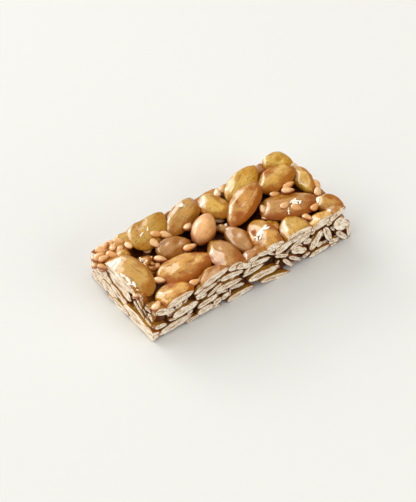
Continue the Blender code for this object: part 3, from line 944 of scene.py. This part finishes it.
def skin_material(name, syrup_shade_low, syrup_shade_high, gloss, sheen_share):
    """Glazed kernel skin: olive to amber by seed, with dark veins, syrup colour and painted shade low
    down, painted shade on the slopes turned from the key light and a painted highlight on the slopes
    turned toward it.
    """
    found = bpy.data.materials.get(name)
    if found:
        return found
    palette = colours()
    coat = {"Coat Weight": gloss, "Coat Roughness": 0.05, "Coat IOR": 1.75}
    material, tree, shader = new_material(name, {"Specular IOR Level": 0.2, **coat})
    own = value_of(tree, "own", "Vector")
    rise = height_of(tree, own)
    facing = coordinate(tree, "Normal")
    amber = value_of(tree, "amber")
    dark = value_of(tree, "dark")
    mottle = use_group(tree, mottle_group(), blotch_size=330.0, speck_size=2100.0)
    depths = {"facet_depth": 0.25, "wave_depth": 0.45, "grain_depth": 0.08}
    glaze = use_group(tree, glaze_group(), facet_size=330.0, **depths)

    # Olive to amber by seed and in blotches, more olive towards the rim
    blotched = math_node(tree, "MULTIPLY_ADD", mottle["Blotches"], 0.7, -0.35)
    edge = math_node(tree, "MULTIPLY_ADD", ramp(tree, rise, 0.95, 0.55), -0.55, 0.15)
    hue = math_node(tree, "ADD", math_node(tree, "ADD", amber, blotched), edge)
    base = mix_colour(tree, hue, palette.olive, palette.amber)

    # Fine dark veins along the kernel
    veins = pattern(tree, vector_node(tree, "MULTIPLY", own, (1.2, 9.0, 9.0)), 1.0, 3.0, 0.5, 0.4)
    vein_mask = ramp(tree, veins["Fac"], 0.53, 0.66, 0.0, 0.8)
    base = mix_colour(tree, vein_mask, base, palette.brown)

    # Thick glaze colour round the foot, partly real glaze and partly painted shade low on each kernel;
    # painted shade takes it higher up on the slopes to the front and right, turned away from the key light
    wavy = math_node(tree, "MULTIPLY_ADD", mottle["Blotches"], 0.4, -0.2)
    away_shade = vector_node(tree, "DOT_PRODUCT", facing, SHADE_LEAN)
    away_shade = math_node(tree, "MULTIPLY", away_shade, ramp(tree, rise, 0.97, 0.6))
    level = math_node(tree, "ADD", math_node(tree, "ADD", rise, wavy), away_shade)
    glaze_foot_and_shade = ramp(tree, level, 0.8, 0.34)
    share = ramp(tree, amber, 0.0, 0.7, 0.45, 1.0)
    base = mix_colour(tree, math_node(tree, "MULTIPLY", glaze_foot_and_shade, share), base, palette.glaze)
    for source, amount in ((dark, 0.9), (mottle["Specks"], 0.8)):
        base = mix_colour(tree, math_node(tree, "MULTIPLY", source, amount), base, palette.brown)

    # Syrup colour low on the bar, partly real syrup and partly painted shade in the gaps, and a painted
    # sheen (a painted highlight) on the slopes turned toward the key light
    wobble = math_node(tree, "MULTIPLY", mottle["Blotches"], -1.2 * MM)
    height = math_node(tree, "ADD", height_of(tree, coordinate(tree)), wobble)
    # syrup_and_shade: syrup colour low on the bar, and painted shade in the gaps between kernels
    syrup_and_shade = ramp(tree, height, syrup_shade_low * MM, syrup_shade_high * MM, 1.0, 0.0)
    base = mix_colour(tree, syrup_and_shade, base, palette.syrup)
    # painted_sheen: a painted highlight, paler where the normal faces the key light, less on darker
    # kernels
    slope = vector_node(tree, "DOT_PRODUCT", facing, PRESSED_SLOPE)
    painted_sheen = math_node(tree, "MULTIPLY_ADD", glaze["Patches"], 0.05, slope)
    painted_sheen = ramp(tree, painted_sheen, 0.955, 1.015, 0.0, sheen_share)
    painted_sheen = math_node(tree, "MULTIPLY", painted_sheen, ramp(tree, dark, 0.0, 0.8, 1.0, 0.2))
    base = mix_colour(tree, painted_sheen, base, PAINTED_SHEEN_COLOUR)
    feed(shader, {"Base Color": base, "Normal": glaze["Normal"]})
    feed(shader, {"Roughness": ramp(tree, glaze["Patches"], 0.0, 1.0, 0.5, 0.28)})
    feed(shader, {"Coat Weight": ramp(tree, glaze_foot_and_shade, 0.2, 1.0, gloss, gloss * 0.15)})
    return material


def cut_material():
    """Cream inside of a cut kernel, streaked along its length, with a brown seam and rim."""
    found = bpy.data.materials.get("Cut kernel")
    if found:
        return found
    palette = colours()
    material, tree, shader = new_material("Cut kernel", {"Roughness": 0.75})
    rim = value_of(tree, "rim")
    mottle = use_group(tree, mottle_group(), blotch_size=420.0, speck_size=2300.0)
    stretched = vector_node(tree, "MULTIPLY", value_of(tree, "own", "Vector"), (1.4, 4.0, 3.8))
    streaks = pattern(tree, stretched, 1.3, 4.0, 0.5, 0.3)["Fac"]
    blush = math_node(tree, "MULTIPLY", mottle["Blotches"], ramp(tree, rim, 0.16, 0.5, 0.1, 0.5))
    base = mix_colour(tree, blush, palette.cream, (0.84, 0.6, 0.36))
    base = mix_colour(tree, ramp(tree, streaks, 0.5, 0.62, 0.0, 0.85), base, (0.52, 0.29, 0.12))
    bend = math_node(tree, "MULTIPLY_ADD", streaks, 0.5, -0.25)
    seam = math_node(tree, "ABSOLUTE", math_node(tree, "ADD", value_of(tree, "middle"), bend))
    broken = math_node(tree, "MULTIPLY", ramp(tree, seam, 0.13, 0.03), mottle["Blotches"])
    base = mix_colour(tree, broken, base, (0.3, 0.13, 0.06))
    base = mix_colour(tree, ramp(tree, rim, 0.16, 0.05, 0.0, 0.85), base, palette.brown)
    specks = math_node(tree, "MULTIPLY", mottle["Specks"], 0.5)
    base = mix_colour(tree, specks, base, (0.42, 0.25, 0.12))
    grooves = bump(tree, streaks, 0.7, 0.0007)
    feed(shader, {"Base Color": base, "Normal": bump(tree, mottle["Specks"], 0.5, 0.0002, grooves)})
    return material


def crumb_material():
    """White torn kernel flesh with a few toasted flecks."""
    material, tree, shader = new_material("Crumb", {})
    mottle = use_group(tree, mottle_group(), blotch_size=900.0, speck_size=2600.0)
    flecks = math_node(tree, "MULTIPLY", mottle["Specks"], 0.35)
    base = mix_colour(tree, flecks, (0.95, 0.9, 0.78), (0.7, 0.45, 0.2))
    feed(shader, {"Base Color": base, "Roughness": ramp(tree, mottle["Blotches"], 0, 1, 0.5, 0.8)})
    return material


def small_seed_material(name, colour, deep, foot_colour, roughness):
    """Smooth glazed seed: one colour, warmer in patches, and darker and warmer towards its underside."""
    coat = {"Coat Weight": 1.0, "Coat Roughness": 0.07, "Coat IOR": 1.65}
    material, tree, shader = new_material(name, {"Roughness": roughness, **coat})
    mottle = use_group(tree, mottle_group(), blotch_size=380.0, speck_size=1700.0)
    blotched = math_node(tree, "MULTIPLY_ADD", mottle["Blotches"], 0.8, -0.3)
    warm = math_node(tree, "ADD", value_of(tree, "amber"), blotched)
    base = mix_colour(tree, warm, colour, deep)
    rise = height_of(tree, value_of(tree, "own", "Vector"))
    base = mix_colour(tree, ramp(tree, rise, 0.72, 0.1), base, foot_colour)
    specks = math_node(tree, "MULTIPLY", mottle["Specks"], 0.3)
    base = mix_colour(tree, specks, base, (0.3, 0.12, 0.04))
    glaze = use_group(tree, glaze_group(), facet_depth=0.1, wave_depth=0.4, grain_depth=0.05)
    feed(shader, {"Base Color": base, "Normal": glaze["Normal"]})
    return material


def syrup_material():
    """Dark red-brown hard syrup, glossy and a little lumpy, thin and amber at the sesame heap."""
    shine = {"Coat Weight": 0.12, "Coat Roughness": 0.05, "Specular IOR Level": 0.25}
    shine["Specular Tint"] = (1.0, 0.45, 0.25, 1)
    material, tree, shader = new_material("Syrup", {"Roughness": 0.3, **shine})
    mottle = use_group(tree, mottle_group(), blotch_size=260.0, speck_size=1200.0)
    base = mix_colour(tree, mottle["Blotches"], colours().syrup, (0.12, 0.03, 0.008))
    specks = math_node(tree, "MULTIPLY", mottle["Specks"], 0.5)
    base = mix_colour(tree, specks, base, (0.2, 0.07, 0.02))
    away = vector_node(tree, "DISTANCE", coordinate(tree), Vector(HEAP) * MM)
    thin = ramp(tree, away, 4.0 * MM, 8.0 * MM, 1.0, 0.0)
    base = mix_colour(tree, thin, base, (0.5, 0.17, 0.025))
    glaze = use_group(tree, glaze_group(), facet_depth=0.3, wave_depth=0.3, grain_depth=0.1)
    feed(shader, {"Base Color": base, "Normal": glaze["Normal"]})
    return material


def cut_group(name, seeds, planes, slot_name):
    """A joined piece of kernels, sawn at its planes, dented and finished."""
    prototypes = model_prototypes()
    piece = lay(name, seeds, prototypes, FACETS)
    drop(prototypes)
    for plane, outward, focus_depth, follow in planes:
        saw(piece, seeds, plane, outward, focus_depth, follow)
    saw(piece, seeds, (0, 0, 0), (0, 0, -1), 2.0, 0.0, opened=False)
    roughen_cuts(piece, shape().saw_depth)
    dent(piece, "broad dents", 3.4, shape().dent_depth)
    dent(piece, "small dents", 1.3, shape().dent_depth * 0.3)
    skin = skin_material(*(GLAZED if slot_name == "glazed_skin" else TOASTED))
    finish_piece(piece, [skin, cut_material()])


class SEEDBAR_OT_top_kernels(bpy.types.Operator):
    """Adds the whole kernels on top, sawn off where they reach a side"""

    bl_idname = "seedbar.top_kernels"
    bl_label = "Top kernels"

    def execute(self, context):
        cut_group("top_kernels", bar_layout()["top"], CUTS["top"], "glazed_skin")
        return {"FINISHED"}


class SEEDBAR_OT_front_kernels(bpy.types.Operator):
    """Adds the cut kernels of the front side"""

    bl_idname = "seedbar.front_kernels"
    bl_label = "Front cut kernels"

    def execute(self, context):
        cut_group("front_cut_kernels", bar_layout()["front"], CUTS["front"], "cut_kernel")
        return {"FINISHED"}


class SEEDBAR_OT_left_kernels(bpy.types.Operator):
    """Adds the cut kernels of the left end"""

    bl_idname = "seedbar.left_kernels"
    bl_label = "Left cut kernels"

    def execute(self, context):
        cut_group("left_cut_kernels", bar_layout()["left"], CUTS["left"], "cut_kernel")
        return {"FINISHED"}


class SEEDBAR_OT_back_kernels(bpy.types.Operator):
    """Adds the cut kernels of the back side"""

    bl_idname = "seedbar.back_kernels"
    bl_label = "Back cut kernels"

    def execute(self, context):
        cut_group("back_cut_kernels", bar_layout()["back"], CUTS["back"], "cut_kernel")
        return {"FINISHED"}


class SEEDBAR_OT_right_kernels(bpy.types.Operator):
    """Adds the cut kernels of the right end"""

    bl_idname = "seedbar.right_kernels"
    bl_label = "Right cut kernels"

    def execute(self, context):
        cut_group("right_cut_kernels", bar_layout()["right"], CUTS["right"], "cut_kernel")
        return {"FINISHED"}


def base_rows():
    """Kernels pressed flat on the base, in loose rows, by rule."""
    draw = random.Random(RANDOM_SEED + 1)
    rows = []
    for lane in (-9.0, -3.0, 3.0, 9.0):
        x = -26.0 + draw.uniform(0, 4)
        while x < 27.0:
            length = draw.uniform(11.0, 15.5)
            width = draw.uniform(6.6, 8.4)
            heading = draw.uniform(-35, 35)
            y = lane + draw.uniform(-0.8, 0.8)
            rows.append(
                Kernel(
                    x, y, 1.1, length, width, 3.2, heading, draw.uniform(-4, 4),
                    draw.uniform(-8, 8), draw.uniform(0.1, 0.9), draw.uniform(0.1, 0.5),
                )
            )
            x += length * 0.78
    return rows


# How far the base kernels stop short of each cut side, in mm.
BASE_INSET = 1


class SEEDBAR_OT_base_kernels(bpy.types.Operator):
    """Adds the kernels pressed flat underneath"""

    bl_idname = "seedbar.base_kernels"
    bl_label = "Base kernels"

    def execute(self, context):
        seeds = []
        for number, row in enumerate(base_rows()):
            seeds.append(Seed(placing(row), number % 3, row.amber, row.dark))
        prototypes = model_prototypes()
        piece = lay("base_kernels", seeds, prototypes)
        drop(prototypes)
        for plane, outward in (
            ((0, FRONT_CUT + BASE_INSET, 0), FRONT),
            ((0, BACK_CUT - BASE_INSET, 0), BACK),
            ((LEFT_CUT + BASE_INSET, 0, 0), LEFT),
            ((RIGHT_CUT - BASE_INSET, 0, 0), RIGHT),
        ):
            saw(piece, seeds, plane, outward, 1.0, 0.0)
        dent(piece, "base dents", 2.8, 0.3 * MM)
        saw(piece, seeds, (0, 0, 0), (0, 0, -1), 2.0, 0.0, opened=False)
        finish_piece(piece, [skin_material(*TOASTED), cut_material()])
        return {"FINISHED"}


# Each side's turn, cut, span of the chips, number drawn by rule, way out and placed chips.
CHIP_SIDES = (
    ("front", FRONT_TURN, -FRONT_CUT, 58, 26, FRONT, FRONT_CHIPS),
    ("left", LEFT_TURN, -LEFT_CUT, 24, 8, LEFT, LEFT_CHIPS),
    ("back", BACK_TURN, BACK_CUT, 58, 34, BACK, ()),
    ("right", RIGHT_TURN, RIGHT_CUT, 19, 14, RIGHT, ()),
)


def chip_rows(span, count, draw):
    """Small broken pieces anywhere on a side, by rule."""
    rows = []
    for _ in range(count):
        rows.append(
            Section(
                draw.uniform(-span / 2, span / 2),
                draw.uniform(0.8, 8.6),
                draw.uniform(1.6, 3.8),
                draw.uniform(0.8, 1.6),
                draw.uniform(-60, 60),
                draw.uniform(-0.9, -0.2),
            )
        )
    return rows


class SEEDBAR_OT_chips(bpy.types.Operator):
    """Adds the small broken pieces in the gaps of the cut sides"""

    bl_idname = "seedbar.chips"
    bl_label = "Side chips"

    def execute(self, context):
        draw = random.Random(RANDOM_SEED + 4)
        for side, turn, cut, span, count, outward, placed in CHIP_SIDES:
            rows = list(placed) + chip_rows(span, count, draw)
            seeds = []
            for seed in cut_seeds(rows, turn, cut, draw):
                narrow = Matrix.Diagonal((1, 0.45, 1, 1))
                seeds.append(seed._replace(matrix=seed.matrix @ narrow))
            plane = Vector(outward) * cut
            cut_group(f"{side}_chips", seeds, ((plane, outward, 1.5, 1.0),), "cut_kernel")
        above_all = (((0, 0, 40), (0, 0, 1), 1.5, 0.0),)
        cut_group("top_bits", whole_seeds(TOP_BITS, draw), above_all, "glazed_skin")
        return {"FINISHED"}


class SEEDBAR_OT_crumbs(bpy.types.Operator):
    """Adds the white flakes and splinters lying on top"""

    bl_idname = "seedbar.crumbs"
    bl_label = "Crumbs"

    def execute(self, context):
        top = bpy.data.objects.get("top_kernels")
        if top is None:
            raise RuntimeError("top_kernels is missing: add it before the crumbs")
        clear_selection()
        bpy.ops.mesh.primitive_ico_sphere_add(subdivisions=4, radius=1.0)
        flake = bpy.context.active_object
        seeds = []
        for x, y, length, width, thickness, heading in CRUMBS:
            found, place, slope, face = top.ray_cast((x * MM, y * MM, 0.05), (0, 0, -1))
            height = place.z / MM + thickness * 0.3 if found else 8.6
            row = Kernel(x, y, height, length, width, thickness, heading)
            seeds.append(Seed(placing(row), 0, 0.5, 0.0))
        piece = lay("crumbs", seeds, [flake])
        drop([flake])
        write_values(piece.data, "rim", np.full(len(piece.data.vertices), 2.0))
        dent(piece, "crumb tears", 0.5, 0.45 * MM)
        dent(piece, "crumb grain", 0.2, 0.12 * MM)
        finish_piece(piece, [crumb_material()])
        return {"FINISHED"}


class SEEDBAR_OT_round_nut(bpy.types.Operator):
    """Adds the round roasted nut in the middle of the top"""

    bl_idname = "seedbar.round_nut"
    bl_label = "Round nut"

    def execute(self, context):
        nut = ball_seed("round_nut", 40, 28, -0.16)
        push(nut, (1.0, 0.0, 0.0), 0.12, (0.1, 0.0, 0.0), 0.4)
        push(nut, (-1.0, 0.0, 0.0), 0.12, (-0.1, 0.0, 0.0), 0.45)
        unit = positions(nut.data)
        write_values(nut.data, "own", unit)
        write_values(nut.data, "amber", np.full(len(unit), 0.15))
        nut.data.transform(placing(ROUND_NUT))
        dent(nut, "nut dents", 2.6, 0.25 * MM)
        tints = (colours().nut, (0.6, 0.22, 0.06), (0.3, 0.09, 0.015))
        material = small_seed_material("Roasted nut", *tints, 0.4)
        finish_piece(nut, [material])
        return {"FINISHED"}


def sesame_rows():
    """Sesame seeds on top, with a few smaller ones low in the gaps, by rule."""
    draw = random.Random(RANDOM_SEED + 2)
    rows = list(TOP_GRAINS) + list(HEAP_GRAINS)
    for _ in range(26):
        rows.append(
            Grain(
                draw.uniform(-27, 28),
                draw.uniform(-11, 11.5),
                draw.uniform(8.2, 8.8),
                draw.uniform(0, 180),
            )
        )
    return rows


class SEEDBAR_OT_sesame(bpy.types.Operator):
    """Adds the sesame seeds lying on and between the kernels"""

    bl_idname = "seedbar.sesame"
    bl_label = "Sesame seeds"

    def execute(self, context):
        draw = random.Random(RANDOM_SEED + 3)
        sizes = shape()
        prototype = ball_seed("sesame", SESAME_SIDES, SESAME_RINGS, SESAME_TAPER)
        seeds = []
        for row in sesame_rows():
            scale = draw.uniform(0.88, 1.08) / MM
            kernel = Kernel(
                row.x, row.y, row.z,
                sizes.sesame_length * scale,
                sizes.sesame_width * scale,
                sizes.sesame_thickness * scale,
                row.heading,
                draw.uniform(-14, 14),
                draw.uniform(-20, 20),
            )
            heaped = (Vector((row.x, row.y, row.z)) - Vector(HEAP)).length < 5.0
            warm = draw.uniform(0.1, 0.85) + (0.5 if heaped else 0.0)
            seeds.append(Seed(placing(kernel), 0, warm, 0.2))
        piece = lay("sesame_seeds", seeds, [prototype])
        drop([prototype])
        dent(piece, "sesame dents", 1.2, 0.12 * MM)
        tints = (colours().sesame, (0.7, 0.31, 0.07), (0.36, 0.08, 0.008))
        material = small_seed_material("Sesame", *tints, 0.42)
        finish_piece(piece, [material])
        return {"FINISHED"}


class SEEDBAR_OT_syrup(bpy.types.Operator):
    """Adds the syrup that fills the gaps: a smoothed skin shrunk from all the seeds"""

    bl_idname = "seedbar.syrup"
    bl_label = "Syrup"

    def execute(self, context):
        clear_selection()
        half = Vector(SYRUP_HALF) * MM
        bpy.ops.mesh.primitive_cube_add(size=1.0, location=(0, 0, half.z))
        block = bpy.context.active_object
        bpy.ops.transform.resize(value=half * 2)
        bpy.ops.object.transform_apply(location=True, rotation=False, scale=True)
        copies = [block]
        for name in SYRUP_SOURCES:
            source = bpy.data.objects.get(name)
            if source is None:
                raise RuntimeError(f"{name} is missing: add it before the syrup")
            copies.append(place_new(f"{name}_copy", source.data.copy()))
        join(copies, "syrup")
        apply_modifier(block, "REMESH", mode="VOXEL", voxel_size=SYRUP_VOXEL * MM)
        apply_modifier(block, "SMOOTH", factor=0.5, iterations=7)
        apply_modifier(block, "DISPLACE", strength=-SYRUP_SHRINK * MM, mid_level=0.0)
        points = positions(block.data)
        gap = shape().gap_depth / MM
        for number, point in enumerate(points):
            x, y, z = point / MM
            wave = 0.25 * noise.noise(Vector((x, y, z)) * 0.6)
            x = min(max(x, LEFT_CUT + gap + wave), RIGHT_CUT - gap + wave)
            y = min(max(y, FRONT_CUT + gap + wave), BACK_CUT - gap + wave)
            points[number] = (x * MM, y * MM, max(z, SYRUP_LOWEST) * MM)
        move_points(block.data, points)
        dent(block, "syrup lumps", 1.4, 0.3 * MM)
        for layer in list(block.data.attributes):
            if layer.name in POINT_VALUES:
                block.data.attributes.remove(layer)
        finish_piece(block, [syrup_material()])
        return {"FINISHED"}


class SEEDBAR_OT_stage(bpy.types.Operator):
    """Adds the camera, the soft lights and the pale floor"""

    bl_idname = "seedbar.stage"
    bl_label = "Stage"

    def execute(self, context):
        scene = context.scene
        settings = scene.seed_bar_stage
        azimuth = math.radians(settings.azimuth)
        elevation = math.radians(settings.elevation)
        back = Vector(
            (
                math.sin(azimuth) * math.cos(elevation),
                -math.cos(azimuth) * math.cos(elevation),
                math.sin(elevation),
            )
        )
        right = Vector((math.cos(azimuth), math.sin(azimuth), 0))
        up = back.cross(right)
        aim = right * CAMERA_RIGHT * MM + up * CAMERA_UP * MM
        camera = place_new("camera", bpy.data.cameras.new("camera"))
        camera.data.lens = LENS
        camera.data.sensor_width = SENSOR
        camera.data.clip_start = 0.01
        camera.location = aim + back * settings.distance
        camera.rotation_euler = back.to_track_quat("Z", "Y").to_euler()
        scene.camera = camera
        clear_selection()
        bpy.ops.mesh.primitive_plane_add(size=6.0)
        floor = context.active_object
        floor.name = "floor"
        look = {"Base Color": (*settings.floor, 1), "Roughness": 0.6, "Specular IOR Level": 0.2}
        floor.data.materials.append(new_material("Floor", look)[0])
        for name, place, size, power, mirrored in LIGHTS:
            lamp = place_new(name, bpy.data.lights.new(name, "AREA"))
            lamp.data.shape = "RECTANGLE"
            lamp.data.size, lamp.data.size_y = size
            lamp.data.energy = power
            lamp.visible_glossy = mirrored
            lamp.location = place
            lamp.rotation_euler = Vector(place).to_track_quat("Z", "Y").to_euler()
        world = bpy.data.worlds.new("studio")
        world.use_nodes = True
        tree = world.node_tree
        sky = tree.nodes["Background"]
        toward = vector_node(tree, "DOT_PRODUCT", coordinate(tree, "Generated"), SKY_BRIGHT)
        glow = ramp(tree, toward, *SKY_SPAN, *SKY_RANGE)
        feed(sky, {"Color": (1.0, 0.995, 0.98, 1), "Strength": glow})
        scene.world = world
        scene.view_settings.view_transform = "Standard"
        return {"FINISHED"}


OPERATORS = (
    SEEDBAR_OT_stage,
    SEEDBAR_OT_top_kernels,
    SEEDBAR_OT_front_kernels,
    SEEDBAR_OT_left_kernels,
    SEEDBAR_OT_back_kernels,
    SEEDBAR_OT_right_kernels,
    SEEDBAR_OT_chips,
    SEEDBAR_OT_base_kernels,
    SEEDBAR_OT_round_nut,
    SEEDBAR_OT_sesame,
    SEEDBAR_OT_syrup,
    SEEDBAR_OT_crumbs,
)


class SEEDBAR_PT_panel(bpy.types.Panel):
    """Lists the bar's sizes, colours and pieces"""

    bl_idname = "SEEDBAR_PT_panel"
    bl_label = "Seed bar"
    bl_space_type = "VIEW_3D"
    bl_region_type = "UI"
    bl_category = "Seed bar"

    def draw(self, context):
        scene = context.scene
        for group in (scene.seed_bar_shape, scene.seed_bar_colours, scene.seed_bar_stage):
            for name in group.bl_rna.properties.keys():
                if name not in ("rna_type", "name"):
                    self.layout.prop(group, name)
        for operator in OPERATORS:
            self.layout.operator(operator.bl_idname)


CLASSES = (BarShape, BarColours, StageSettings, *OPERATORS, SEEDBAR_PT_panel)


def register():
    for part in CLASSES:
        bpy.utils.register_class(part)
    bpy.types.Scene.seed_bar_shape = bpy.props.PointerProperty(type=BarShape)
    bpy.types.Scene.seed_bar_colours = bpy.props.PointerProperty(type=BarColours)
    bpy.types.Scene.seed_bar_stage = bpy.props.PointerProperty(type=StageSettings)


def unregister():
    del bpy.types.Scene.seed_bar_stage
    del bpy.types.Scene.seed_bar_colours
    del bpy.types.Scene.seed_bar_shape
    for part in reversed(CLASSES):
        bpy.utils.unregister_class(part)


def main():
    register()
    for operator in OPERATORS:
        section, step = operator.bl_idname.split(".")
        getattr(getattr(bpy.ops, section), step)()


if __name__ == "__main__":
    main()
